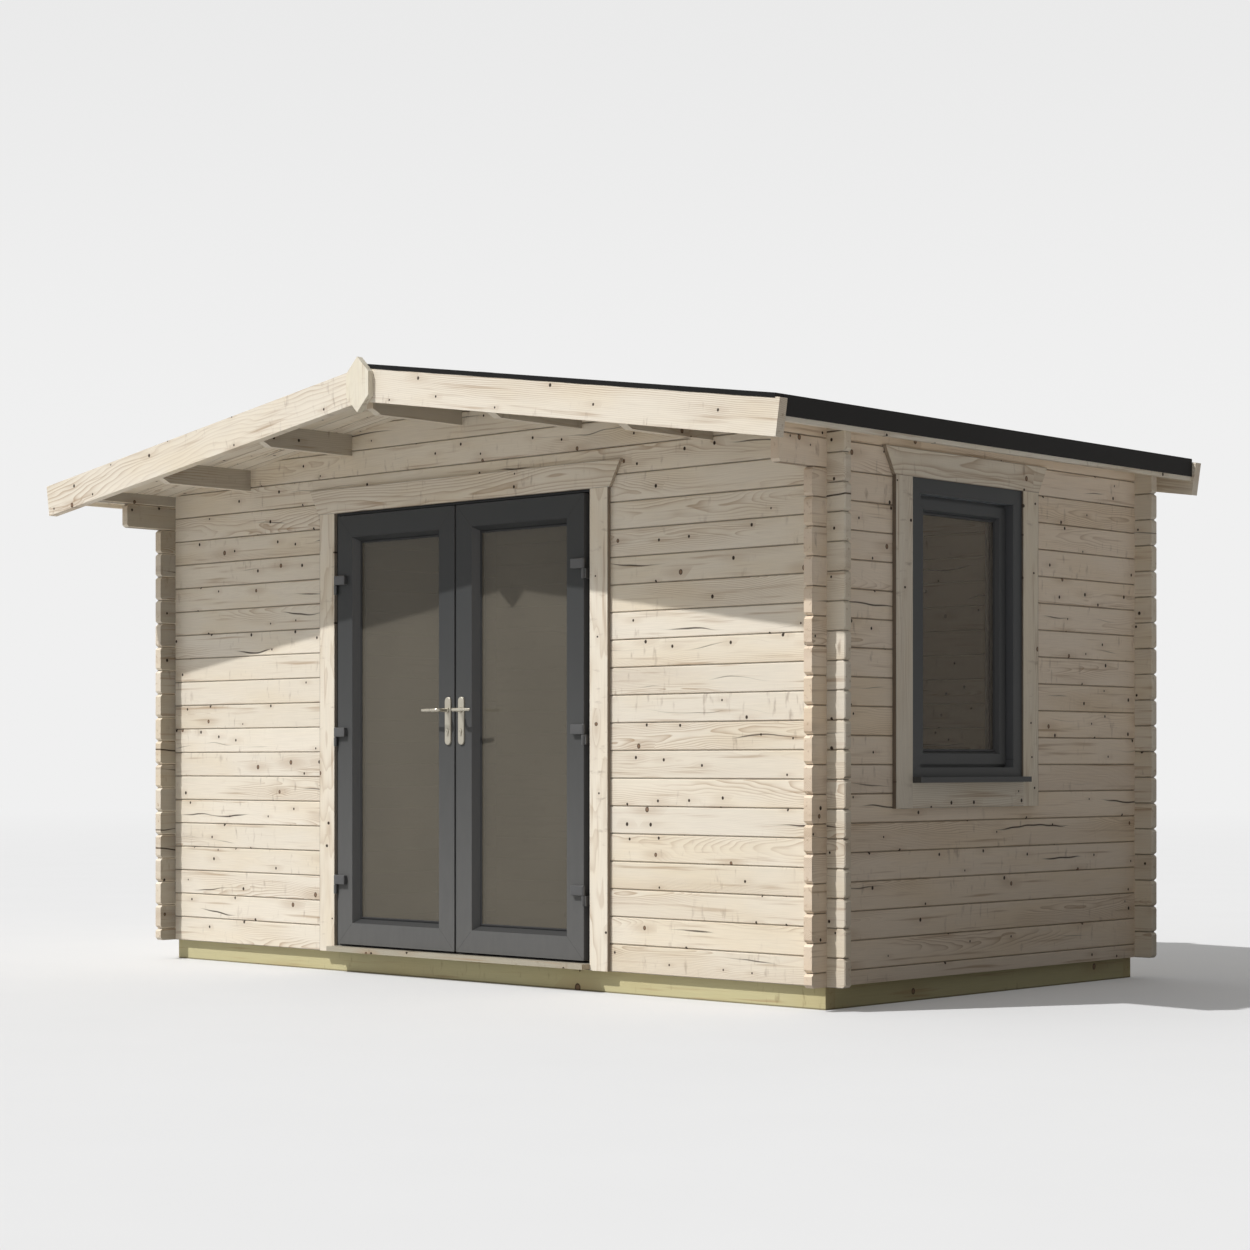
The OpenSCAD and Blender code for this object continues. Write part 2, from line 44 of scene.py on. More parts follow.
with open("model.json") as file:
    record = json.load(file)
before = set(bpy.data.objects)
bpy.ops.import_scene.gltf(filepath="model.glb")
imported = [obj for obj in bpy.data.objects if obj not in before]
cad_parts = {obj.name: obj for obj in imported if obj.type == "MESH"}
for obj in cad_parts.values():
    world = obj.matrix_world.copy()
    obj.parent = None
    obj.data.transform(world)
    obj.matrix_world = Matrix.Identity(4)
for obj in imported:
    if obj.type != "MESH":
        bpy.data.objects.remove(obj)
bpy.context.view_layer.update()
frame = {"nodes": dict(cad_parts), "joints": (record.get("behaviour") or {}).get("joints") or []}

X, Y, Z = (1, 0, 0), (0, 1, 0), (0, 0, 1)

# Sizes of the boards in metres, as the model has them, and the slope of the roof
COURSE = 0.114
ROOF_BOARD = 0.094
FLOOR_BOARD = 0.114
SLOPE = math.radians(8.5)
# Wider than any piece, for pieces that are one board
ONE_BOARD = 3.0

# Where the camera stands, its turn to the left, and the rise of its picture as a share of the width
CAMERA_PLACE = (8.42565, -9.06694, 0.95232)
CAMERA_TURN = math.radians(43.05)
CAMERA_RISE = 0.1106
SUN_DIRECTION = (0.3075, 0.585, -0.788)
FLOOR_REACH = 60.0

PAINT_ROUGHNESS = 0.42


def paint(red, green, blue):
    """A colour written as 0 to 255 on a colour card, as the linear numbers that Blender wants."""
    card = np.array([red, green, blue]) / 255.0
    return tuple(float(c) for c in np.where(card <= 0.04045, card / 12.92, ((card + 0.055) / 1.055) ** 2.4))


def colour(name, description, *card):
    """A colour property with its default taken from a colour card."""
    return FloatVectorProperty(
        name=name, description=description, subtype="COLOR", size=3, min=0.0, max=1.0, default=paint(*card)
    )


def length(name, description, default, low, high):
    """A length property in metres."""
    return FloatProperty(
        name=name, description=description, default=default, min=low, max=high, unit="LENGTH", precision=4
    )


# ---- What a user may change ----


class CabinTimber(PropertyGroup):
    """Colours and grain of the wood."""

    log_colour: colour("Logs", "Fresh planed spruce", 233, 224, 208)
    warm_colour: colour("Warm wood", "Tint that the yellower logs are multiplied with", 250, 244, 232)
    ring_colour: colour("Rings", "Dark part of a year ring", 162, 129, 94)
    # painted shade colour of the trims' edges and of the fine shadow lines along them
    edge_colour: colour("Edges", "Sawn edges of the trims", 112, 98, 86)
    knot_colour: colour("Knots", "Heart of a large knot, and cracks", 112, 78, 50)
    # colour of small knots, rims, cracks and joints, and of the painted contact shadow at the foot of the
    # bearers
    pin_colour: colour("Knot rims", "Small dead knots and the rims of large ones", 42, 26, 14)
    treated_colour: colour("Treated timber", "Green tint of the pressure treated bearers", 199, 191, 150)
    ring_spacing: length("Ring spacing", "Distance between two year rings", 0.0052, 0.001, 0.02)
    joint_width: length("Joint shadow", "Width of the dark line between two logs", 0.0028, 0.0005, 0.01)


class CabinFinish(PropertyGroup):
    """Colours of paint, felt, metal and glass."""

    paint_colour: colour("Doors and window", "Anthracite paint on the frames and leaves", 65, 66, 66)
    felt_colour: colour("Roof felt", "Black mineral felt", 28, 26, 24)
    metal_colour: colour("Handles", "Satin nickel of the levers and plates", 187, 181, 166)
    hinge_colour: colour("Hinges", "Dark coated hinges", 84, 84, 84)
    rubber_colour: colour("Gaskets", "Black rubber round the glass", 26, 26, 27)
    glass_colour: colour("Glass", "Brown tint of the glass", 115, 109, 97)
    # paler than the door glass: painted light that lifts the window on the shaded right wall
    window_colour: colour("Window glass", "Tint of the window glass", 200, 187, 170)
    door_veil: FloatProperty(
        name="Door glass tint", description="How much of what is behind the door glass its tint hides",
        default=0.62, min=0.0, max=1.0,
    )
    window_veil: FloatProperty(
        name="Window glass tint", description="How much of what is behind the window glass its tint hides",
        default=0.17, min=0.0, max=1.0,
    )


class CabinSizes(PropertyGroup):
    """Sizes of the pieces that the finish adds."""

    gasket_width: length("Gasket width", "Width of the rubber strip round a pane", 0.010, 0.002, 0.02)
    gasket_height: length("Gasket height", "Height of the rubber strip on the outside", 0.004, 0.001, 0.01)
    hinge_half: length("Hinge half", "Height of one half of a hinge", 0.042, 0.02, 0.06)
    felt_cover: length("Felt cover", "Width of a felt sheet that stays in sight", 0.77, 0.3, 1.0)
    felt_sheet: length("Felt thickness", "Thickness of one felt sheet", 0.0025, 0.001, 0.005)


class CabinStage(PropertyGroup):
    """Floor, light and camera."""

    floor_colour: colour("Floor", "Pale floor under the cabin", 219, 219, 219)
    back_colour: colour("Background", "What is seen past the floor", 240, 240, 240)
    sun_strength: FloatProperty(
        name="Sun", description="Strength of the main light", default=2.93, min=0.0, max=10.0,
    )
    sky_strength: FloatProperty(
        name="Sky", description="Strength of the light from all round", default=0.46, min=0.0, max=5.0,
    )
    sun_spread: FloatProperty(
        name="Sun spread", description="Apparent size of the main light, for soft shadow edges",
        default=math.radians(0.8), min=0.0, max=1.0, subtype="ANGLE",
    )
    lens: FloatProperty(
        name="Lens", description="Focal length of the camera in millimetres", default=76.28,
        min=10.0, max=300.0,
    )


# ---- Materials ----


class Term:
    """A number that a material works out at each point, so that formulas can be written as such."""

    def __init__(self, graph, socket):
        self.graph = graph
        self.socket = socket

    def __add__(self, other):
        return self.graph.number("ADD", self, other)

    def __sub__(self, other):
        return self.graph.number("SUBTRACT", self, other)

    def __rsub__(self, other):
        return self.graph.number("SUBTRACT", other, self)

    def __mul__(self, other):
        return self.graph.number("MULTIPLY", self, other)

    def __truediv__(self, other):
        return self.graph.number("DIVIDE", self, other)

    def __pow__(self, other):
        return self.graph.number("POWER", self, other)

    def __abs__(self):
        return self.graph.number("ABSOLUTE", self)

    __radd__ = __add__

    def floor(self):
        """The whole number below."""
        return self.graph.number("FLOOR", self)

    def over(self, limit):
        """1 above the limit, else 0."""
        return self.graph.number("GREATER_THAN", self, limit)

    def rise(self, low, high):
        """0 below low, 1 above high, and a smooth S between them."""
        return self.graph.node(
            "MapRange", {"Value": self, "From Min": low, "From Max": high}, interpolation_type="SMOOTHSTEP"
        )


class Graph:
    """A material, or a world, while its nodes are put together."""

    def __init__(self, name, owner=None):
        self.owner = owner or bpy.data.materials.new(name)
        self.owner.use_nodes = True
        self.tree = self.owner.node_tree
        self.tree.nodes.clear()

    def node(self, kind, inputs=(), out=0, **settings):
        """Adds one node, sets its inputs by name or number, and returns one of its outputs."""
        made = self.tree.nodes.new("ShaderNode" + kind)
        for key, value in settings.items():
            setattr(made, key, value)
        for key, value in dict(inputs).items():
            value = value.socket if isinstance(value, Term) else value
            if isinstance(value, bpy.types.NodeSocket):
                self.tree.links.new(value, made.inputs[key])
            else:
                made.inputs[key].default_value = value
        return Term(self, made.outputs[out])

    def number(self, operation, first, second=0.0):
        """One step of arithmetic."""
        return self.node("Math", {0: first, 1: second}, operation=operation)

    def most(self, first, second):
        """The larger of two numbers."""
        return self.number("MAXIMUM", first, second)

    def hypot(self, a, b):
        """Length of the long side of a right triangle."""
        return (a * a + b * b) ** 0.5

    def place(self, along=X, across=Z):
        """Object coordinates as along, through and across a board."""
        along = Vector(along).normalized()
        across = Vector(across).normalized()
        turn = Matrix((along, across.cross(along), across)).to_euler()
        spot = self.node("TexCoord", out="Object")
        turned = self.node("Mapping", {"Vector": spot, "Rotation": turn})
        return [self.node("SeparateXYZ", {0: turned}, out=axis) for axis in range(3)]

    def generated(self):
        """The three parts of the direction that a world is looked at in."""
        spot = self.node("TexCoord", out="Generated")
        return [self.node("SeparateXYZ", {0: spot}, out=axis) for axis in range(3)]

    def ray(self, kind):
        """1 for the rays of one kind, else 0."""
        return self.node("LightPath", out=f"Is {kind} Ray")

    def vector(self, x, y, z=0.0):
        """Three numbers as one vector."""
        return self.node("CombineXYZ", {0: x, 1: y, 2: z})

    def noise(self, x, y, z=0.0, detail=2.0, rough=0.5):
        """Soft noise about 0.5, with features about one unit across."""
        spot = self.vector(x, y, z)
        return self.node("TexNoise", {"Vector": spot, "Scale": 1.0, "Detail": detail, "Roughness": rough})

    def chance(self, x, y):
        """Three random numbers for each pair of whole numbers."""
        cell = self.node("TexWhiteNoise", {"Vector": self.vector(x, y)}, out="Color", noise_dimensions="2D")
        return [self.node("SeparateColor", {0: cell}, out=channel) for channel in range(3)]

    def mix(self, share, first, second):
        """A colour between first, at share 0, and second, at share 1."""
        first, second = (c if isinstance(c, Term) or len(c) == 4 else (*c, 1.0) for c in (first, second))
        return self.node("Mix", {0: share, 6: first, 7: second}, out=2, data_type="RGBA", clamp_factor=True)

    def scale(self, tone, factor):
        """A colour times a number."""
        return self.node("VectorMath", {0: tone, 3: factor}, operation="SCALE")

    def bump(self, height):
        """Normals of a surface whose relief is a height in metres."""
        return self.node("Bump", {"Height": height, "Strength": 1.0, "Distance": 1.0})

    def cosine(self, direction):
        """Cosine of the angle between a face's normal and a direction."""
        pair = {0: self.node("TexCoord", out="Normal"), 1: tuple(Vector(direction).normalized())}
        return self.node("VectorMath", pair, out=1, operation="DOT_PRODUCT")

    def facing(self, direction):
        """1 on the faces square to a direction, to either side, else 0."""
        return abs(self.cosine(direction)).rise(0.75, 0.95)

    def toward(self, direction):
        """1 on the faces that look along a direction, else 0."""
        return self.cosine(direction).rise(0.70, 0.88)

    def finish(self, shader, kind="Material"):
        """Ends the nodes with a shader, and returns the material or world."""
        end = self.tree.nodes.new("ShaderNodeOutput" + kind)
        self.tree.links.new(shader.socket, end.inputs["Surface"])
        return self.owner

    def surface(self, **inputs):
        """The usual shader; colours may be given as three numbers."""
        named = {}
        for key, value in inputs.items():
            name = key.replace("_", " ").title().replace("Ior", "IOR")
            named[name] = (*value, 1.0) if isinstance(value, tuple) and len(value) == 3 else value
        return self.node("BsdfPrincipled", named)


def knots(g, along, across, cells, share, small, large, seed):
    """Knots of a board. An uneven grid has `cells` cells a metre and one point in each; a share of the
    points carries a knot, with a radius from small to large. Returns the heart, its dark rim and the
    stretched halo in which the grain bends, each from 0 to 1."""
    x, y = along * cells + seed, across * cells + seed * 1.7
    cell = {"Vector": g.vector(x, y), "Scale": 1.0, "Randomness": 0.9}
    spot = g.node("TexVoronoi", cell, out="Position", voronoi_dimensions="2D")
    dice = Term(g, spot.socket.node.outputs["Color"])
    luck = [g.node("SeparateColor", {0: dice}, out=i) for i in range(2)]
    dx = (x - g.node("SeparateXYZ", {0: spot}, out=0)) / cells
    dy = (y - g.node("SeparateXYZ", {0: spot}, out=1)) / cells
    here = luck[0].over(1.0 - share)
    radius = luck[1] * (large - small) + small
    near = g.hypot(dx * 1.15, dy) / radius
    heart = (1.0 - near.rise(0.8, 1.15)) * here
    rim = heart * near.rise(0.45, 0.9)
    halo = (1.0 - (g.hypot(dx * 0.28, dy) / radius).rise(0.6, 3.6)) * here
    return heart, rim, halo


def wood(name, along, across, pitch, start, depth, seed, joint=0.0, tint=None, knotty=1.0, grain=1.0,
         edge=0.0, foot=0.0, stout=1.0, flame=0.0, shade=0.0, lines=()):
    """Planed softwood in boards `pitch` wide that run along `along` and start at `start` across it. Year
    rings are circles round a pith that wanders beside the board, near `depth` through it, so that they
    show as flames and long lines. Each board has a random shift and tone, knots of two sizes, cracks
    along the grain, brown marks across it, streaks and fine fibres, and its ends show end grain.

    joint is the width of the dark line between two boards, and tint the colour of the wood. knotty
    counts the small knots, stout counts and sizes the large ones, and grain is the strength of the
    rings; flame shows them all over and wider apart. edge paints shade on the sawn edges, foot paints a
    contact shadow on the last millimetres over the ground, and shade paints shade on the faces that look
    to the right. lines holds places across the boards with a fine painted shadow line."""
    p = bpy.context.scene.cabin_timber
    g = Graph(name)
    # u, w and v: metres along, through and across the boards; k: the number of the board; ub and vb: u
    # and v moved on for each board, so that no two boards are alike
    u, w, v = g.place(along, across)
    row = (v - start) / pitch
    k = row.floor()
    local = (row - k - 0.5) * pitch
    r1, r2, r3 = g.chance(k, seed)
    ub = u + r1 * 29.0 + seed
    vb = v + k * 0.71 + seed

    wander = g.noise(ub * 0.8, k * 3.1, seed, 1.0)
    turn = g.noise(ub * 0.7, k * 2.3 + 9.0, seed, 1.0)
    warp = g.noise(ub * 2.6, vb * 11.0, w * 11.0, 2.0)
    heart, rim, halo = knots(g, ub, v, 3.1, 0.36 * stout, 0.0075 * stout, 0.0120 * stout, seed)
    pin, _, pin_halo = knots(g, ub, v, 6.6, 0.56 * knotty, 0.0042, 0.0085, seed + 4.0)
    pith_v = (r2 - 0.5) * 0.17 + (wander - 0.5) * 0.16
    pith_w = r3 * 0.07 + 0.02 + (turn - 0.5) * 0.14
    far = g.hypot(local - pith_v, w - depth + pith_w)
    spacing = p.ring_spacing * (1.0 + flame * 1.3)
    ring = (far + (warp - 0.5) * 0.03 + halo * 0.006 + pin_halo * 0.002) / spacing
    ring = ring - ring.floor()
    ring = ring ** 3.0 * (1.0 - ring.rise(0.9, 1.0))
    shown = g.noise(ub * 0.9, vb * 6.0, seed + 3.0, 1.0).rise(0.50, 0.66) * 0.90 + 0.10
    shown = g.most(shown, flame)

    fibre = g.noise(ub * 7.0, vb * 210.0, w * 210.0, 3.0, rough=0.65)
    streak = g.noise(ub * 2.2, vb * 52.0, w * 52.0, 2.0)
    cloud = g.noise(ub * 1.6, vb * 5.0, seed + 5.0, 3.0)
    stained = g.noise(ub * 1.9, vb * 4.0, seed + 9.0, 1.0).rise(0.44, 0.62)
    mark = g.noise(ub * 38.0, vb * 12.0, seed + 8.0, 3.0).rise(0.58, 0.82) * stained
    path = (g.noise(ub * 2.4, k * 7.3, seed + 6.0, 2.0) - 0.5) * 0.10 + (r2 - 0.5) * 0.5 * pitch
    split = g.noise(ub * 2.1, k * 5.1, seed + 7.0, 1.0).rise(0.56, 0.72)
    crack = split * (1.0 - (abs(local - path) / (split * 0.0036 + 0.0004)).rise(0.4, 1.2))

    pale = tint or tuple(p.log_colour)
    warm = tuple(c * f for c, f in zip(pale, p.warm_colour))
    tone = g.mix(r2 * 0.30 + cloud.rise(0.42, 0.70) * 0.5, pale, warm)
    tone = g.scale(tone, r3 * 0.07 + 0.955 + (fibre - 0.5) * 0.20)
    tone = g.mix(streak.rise(0.58, 0.80) * 0.62, tone, tuple(p.ring_colour))
    tone = g.mix(ring * shown * 0.80 * grain, tone, tuple(p.ring_colour))
    tone = g.mix((halo + pin_halo * 0.6) * 0.26, tone, tuple(p.ring_colour))
    tone = g.mix(mark * 0.52, tone, tuple(p.knot_colour))
    tone = g.mix(heart * 0.85, tone, tuple(p.knot_colour))
    tone = g.mix(g.most(rim * 0.88, pin * 0.97), tone, tuple(p.pin_colour))
    tone = g.mix(crack * 0.92, tone, tuple(p.pin_colour))
    tone = g.mix(g.facing(along) * 0.16, tone, tuple(p.ring_colour))
    # painted shade: sawn edges are darkened as if in the shade of the gaps beside them
    if edge:
        rims = g.most(g.facing(across), g.facing(along))
        tone = g.mix(rims * edge, tone, tuple(p.edge_colour))
    # painted shadow: fine dark lines where the trim edges cast shade
    for place in lines:
        rule = 1.0 - abs(v - place).rise(0.0012, 0.0036)
        tone = g.mix(rule * 0.55, tone, tuple(p.edge_colour))
    # painted shade: faces that look to the right are darkened
    if shade:
        tone = g.scale(tone, 1.0 - g.toward(X) * shade)
    # painted contact shadow: a dark band on the last millimetres over the ground
    if foot:
        tone = g.mix((1.0 - v.rise(0.003, 0.008)) * foot, tone, tuple(p.pin_colour))
    height = fibre * 0.00022 - ring * shown * 0.00018 - crack * 0.0016 + heart * 0.0005 - pin * 0.0004
    if joint:
        gap = 1.0 - (abs(0.5 - abs(row - k - 0.5)) * pitch).rise(joint * 0.35, joint)
        tone = g.mix(gap * 0.50, tone, tuple(p.pin_colour))
        height = height - gap * 0.0020
    rough = 0.62 + fibre * 0.22 - heart * 0.12
    shader = g.surface(base_color=tone, roughness=rough, normal=g.bump(height), specular_ior_level=0.25)
    return g.finish(shader)


def painted(name, tone, corners=None, painted_face_light=()):
    """Sprayed paint with a fine orange peel and slightly uneven sheen. Low down it turns paler, partly dusty
    and partly painted light from the bright floor. corners is the lowest and highest corner of a leaf: its
    rails and stiles meet there in fine mitred lines. painted_face_light holds pairs of a direction and a
    colour that paints light and shade on the faces that look that way."""
    g = Graph(name)
    x, y, z = g.place()
    fine = g.noise(x * 420.0, y * 420.0, z * 420.0, 1.0)
    broad = g.noise(x * 5.0, y * 5.0, z * 3.0, 3.0)
    dust_and_bounce = (1.0 - z.rise(-0.2, 1.8)) * (g.noise(x * 40.0, y * 40.0, z * 12.0, 3.0) * 0.3 + 0.85)
    shade = g.scale(tone, (broad - 0.5) * 0.16 + 1.0)
    # dusty and painted light: the paint turns paler low down, partly dusty, partly painted light from the
    # bright floor
    shade = g.mix(dust_and_bounce * 0.72, shade, paint(112, 111, 109))
    # painted light and shade: the faces that look along each direction get their own lighter and darker
    # colours
    for direction, coat in painted_face_light:
        shade = g.mix(g.toward(direction) * 0.8, shade, coat)
    relief = fine * 0.00005
    if corners:
        low, high = corners
        leaf = high.x - low.x > 0.2
        wide, first, last = (abs(x), low.x, high.x) if leaf else (y, low.y, high.y)
        from_side = g.number("MINIMUM", wide - first, last - wide)
        from_end = g.number("MINIMUM", z - low.z, high.z - z)
        mitre = 1.0 - abs(from_side - from_end).rise(0.0003, 0.0011)
        shade = g.mix(mitre * 0.7, shade, paint(30, 30, 32))
        relief = relief - mitre * 0.0006
    shader = g.surface(
        base_color=shade, roughness=broad * 0.16 + PAINT_ROUGHNESS - 0.08 + dust_and_bounce * 0.15,
        normal=g.bump(relief), specular_ior_level=0.15,
    )
    return g.finish(shader)


def glazing(name, tint, coat, behind):
    """Tinted double glazing: a veil of the colour `coat` that hides the share `tint` of what is behind
    it, with broad faint wiping marks and a clear gloss. What shows through is tinted by `behind`."""
    g = Graph(name)
    x, y, z = g.place()
    smear = g.noise(x * 3.0 + z * 1.2, y * 3.0, z * 2.0 - x * 1.3, 1.5)
    veil = smear * 0.03 + (tint - 0.023)
    tone = g.mix(smear.rise(0.35, 0.65), tuple(c * 0.95 for c in coat), coat)
    body = g.surface(base_color=tone, roughness=smear * 0.04 + 0.03, specular_ior_level=0.25)
    clear = g.node("BsdfTransparent", {0: (*behind, 1.0)})
    return g.finish(g.node("MixShader", {0: veil, 1: clear, 2: body}))


def felted(name):
    """Mineral felt: dense granules of two blacks, worn a little paler in patches. The cut faces at the
    front and the back are darker."""
    p = bpy.context.scene.cabin_finish
    g = Graph(name)
    x, y, z = g.place()
    grit = g.noise(x * 700.0, y * 700.0, z * 700.0, 2.0, rough=0.8)
    patch = g.noise(x * 2.2, y * 2.2, z * 2.2, 3.0)
    tone = g.scale(tuple(p.felt_colour), (grit - 0.5) * 1.4 + (patch - 0.5) * 0.5 + 1.0)
    tone = g.scale(tone, 1.0 - g.facing(Y) * 0.8)
    shader = g.surface(
        base_color=tone, roughness=grit * 0.2 + 0.76, normal=g.bump(grit * 0.0006), specular_ior_level=0.3
    )
    return g.finish(shader)


def metal(name, tone, rough, metallic, along=Z):
    """Satin metal, brushed along one direction, with a few soft handling marks."""
    g = Graph(name)
    u, w, v = g.place(along, X if along == Z else Z)
    brush = g.noise(u * 60.0, w * 2600.0, v * 2600.0, 2.0)
    touch = g.noise(u * 26.0, w * 26.0, v * 26.0, 3.0)
    shader = g.surface(
        base_color=g.scale(tone, (touch - 0.5) * 0.18 + 1.0), metallic=metallic,
        roughness=brush * 0.14 + (touch - 0.5) * 0.12 + rough - 0.07, normal=g.bump(brush * 0.00003),
    )
    return g.finish(shader)


def rubber(name):
    """Black rubber with a fine grain and a grey bloom."""
    p = bpy.context.scene.cabin_finish
    g = Graph(name)
    x, y, z = g.place()
    bloom = g.noise(x * 30.0, y * 30.0, z * 30.0, 3.0)
    grain = g.noise(x * 900.0, y * 900.0, z * 900.0, 1.0)
    shader = g.surface(
        base_color=g.scale(tuple(p.rubber_colour), bloom * 0.7 + 0.65), roughness=bloom * 0.2 + 0.55,
        normal=g.bump(grain * 0.00004),
    )
    return g.finish(shader)


def foam(name):
    """Rigid insulation board: pale and finely pitted."""
    g = Graph(name)
    x, y, z = g.place()
    pits = g.noise(x * 220.0, y * 220.0, z * 220.0, 3.0)
    shader = g.surface(
        base_color=g.scale(paint(222, 218, 200), pits * 0.3 + 0.82), roughness=0.9,
        normal=g.bump(pits * 0.0006),
    )
    return g.finish(shader)


def dress(material, *nodes):
    """Gives CAD nodes one material."""
    for name in nodes:
        slots = frame["nodes"][name].data.materials
        slots.clear()
        slots.append(material)


# ---- Shapes ----


def skin(grid):
    """The faces over a grid of rows, where every row closes on itself. Returns points and faces."""
    rows, across = grid.shape[:2]
    row = np.arange(rows - 1)[:, None] * across
    here = np.arange(across)[None, :]
    after = (here + 1) % across
    faces = np.stack([row + here, row + after, row + across + after, row + across + here], -1)
    return grid.reshape(-1, 3), faces.reshape(-1, 4)


def together(*shapes):
    """Several shapes as one."""
    counts = np.cumsum([0] + [len(points) for points, faces in shapes])
    points = np.concatenate([points for points, faces in shapes])
    return points, np.concatenate([faces + start for start, (_, faces) in zip(counts, shapes)])


def to(shape, centre, right, up, out):
    """A shape made in its own right, up and out directions, brought to its place."""
    points, faces = shape
    return points @ np.array([right, up, out], float) + np.array(centre, float), faces


def pad(half_a, half_b, corner, thick, edge, base=0.0):
    """A plate with round corners and a round rim. Its outline is a rectangle whose corners are quarter
    circles. The outline goes up from the base, shrinks by a quarter circle over the rim, and then
    shrinks on to the middle, where it closes."""
    reach = min(half_a, half_b)
    rim = np.linspace(0.0, np.pi / 2, 6)
    inset = np.concatenate([[reach, 0.0], edge * (1.0 - np.cos(rim)), [reach]])
    height = np.concatenate([[base, base], thick - edge + edge * np.sin(rim), [thick]])
    turn = np.linspace(0.0, np.pi / 2, 7)
    angle = np.concatenate([turn + quarter * np.pi / 2 for quarter in range(4)])
    side_a = np.repeat([1.0, -1.0, -1.0, 1.0], len(turn))
    side_b = np.repeat([1.0, 1.0, -1.0, -1.0], len(turn))
    round_off = np.maximum(corner - inset, 0.0)[:, None]
    a = side_a * (half_a - inset[:, None] - round_off) + round_off * np.cos(angle)
    b = side_b * (half_b - inset[:, None] - round_off) + round_off * np.sin(angle)
    return skin(np.stack([a, b, np.broadcast_to(height[:, None], a.shape)], -1))


def turned(radius, height):
    """A turned shape: the radius at each height is carried round the axis."""
    angle = np.linspace(0.0, 2 * np.pi, 32, endpoint=False)
    radius, height = np.array(radius, float)[:, None], np.array(height, float)[:, None]
    grid = np.stack([radius * np.cos(angle), radius * np.sin(angle), height + 0.0 * angle], -1)
    return skin(grid)


def barrel(radius, low, high, rim=0.0012):
    """An upright barrel with round rims."""
    curve = np.linspace(0.0, np.pi / 2, 5)
    ring = radius - rim + rim * np.sin(curve)
    lift = rim * (1.0 - np.cos(curve))
    return turned([0.0, *ring, *ring[::-1], 0.0], [low, *(low + lift), *(high - lift[::-1]), high])


def bar(path, wide, high, up):
    """A bar: an ellipse with half axes wide and high carried along a flat path, square to it."""
    ahead = np.gradient(path, axis=0)
    ahead /= np.linalg.norm(ahead, axis=1)[:, None]
    up = np.array(up, float)
    out = np.cross(up, ahead)
    angle = np.linspace(0.0, 2 * np.pi, 20, endpoint=False)
    grid = (path[:, None, :] + (np.array(wide)[:, None] * np.cos(angle))[..., None] * out[:, None, :]
            + (np.array(high)[:, None] * np.sin(angle))[..., None] * up)
    return skin(grid)


def lever_path(start, reach, run):
    """Centre line and half height of one side of a lever. The line leaves the door square to it, turns
    through a quarter circle and runs along the leaf, where it comes back a little as the square of its
    length. The half height shrinks evenly, and over the round end as a quarter circle."""
    bend, end, end_half = 0.016, 0.008, 0.0066
    neck = np.linspace(start, reach - bend, 8)
    curve = np.linspace(0.0, np.pi / 2, 10)[1:]
    free = np.linspace(bend, run, 14)[1:]
    round_end = np.linspace(0.0, np.pi / 2, 7)[1:]
    spot = np.concatenate([0 * neck, bend * (1 - np.cos(curve)), free, run + end * np.sin(round_end)])
    turning = reach - bend + bend * np.sin(curve)
    level = np.concatenate([neck, turning, reach + 0 * free, reach + 0 * round_end])
    settle = np.clip((spot - 0.03) / (run - 0.03), 0.0, 1.0)
    level = level - 0.005 * settle ** 2
    half = 0.0078 - 0.0012 * settle
    half[-len(round_end):] = end_half * np.cos(round_end)
    path = np.stack([spot, level, 0 * spot], -1)
    path = np.concatenate([path[:1], path])
    path[0, 1] -= 1e-5
    return path, np.concatenate([[0.0], half])


def on_slope(s, n, top):
    """x and z of what lies s down the right slope of the roof and n over it; top is the ridge. Close to
    the ridge n turns upright, so that both sides meet in the middle."""
    x = s * math.cos(SLOPE) + n * math.sin(SLOPE) * np.minimum(s / 0.05, 1.0)
    return x, top - s * math.sin(SLOPE) + n * math.cos(SLOPE)


def rim_strip(half_a, half_b, wide, high):
    """A strip round a rectangle: a half ellipse of width `wide` and height `high` is carried along the four
    sides and mitred at the corners."""
    angle = np.linspace(0.0, np.pi, 8)
    across = np.concatenate([wide / 2 * (1.0 - np.cos(angle)), [0.0]])
    out = np.concatenate([high * np.sin(angle) ** 0.6, [0.0]])
    a = (half_a - across)[:, None] * np.array([1.0, -1.0, -1.0, 1.0])
    b = (half_b - across)[:, None] * np.array([1.0, 1.0, -1.0, -1.0])
    return skin(np.stack([a, b, np.broadcast_to(out[:, None], a.shape)], -1))


def piece(name, shape, material, body, crease=35.0):
    """Makes a piece of a shape: doubles are merged, faces turned outwards, and edges over the crease
    angle kept sharp. The piece rides on a body."""
    points, faces = shape
    mesh = bpy.data.meshes.new(name)
    mesh.from_pydata(points, [], faces.tolist())
    shell = bmesh.new()
    shell.from_mesh(mesh)
    bmesh.ops.remove_doubles(shell, verts=shell.verts, dist=1e-6)
    bmesh.ops.dissolve_degenerate(shell, edges=shell.edges, dist=1e-6)
    bmesh.ops.recalc_face_normals(shell, faces=shell.faces)
    shell.to_mesh(mesh)
    shell.free()
    mesh.materials.append(material)
    mesh.shade_smooth()
    mesh.set_sharp_from_angle(angle=math.radians(crease))
    made = bpy.data.objects.new(name, mesh)
    bpy.context.scene.collection.objects.link(made)
    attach(made, body)
    return made


# ---- Operators: one for each piece or group of like pieces ----


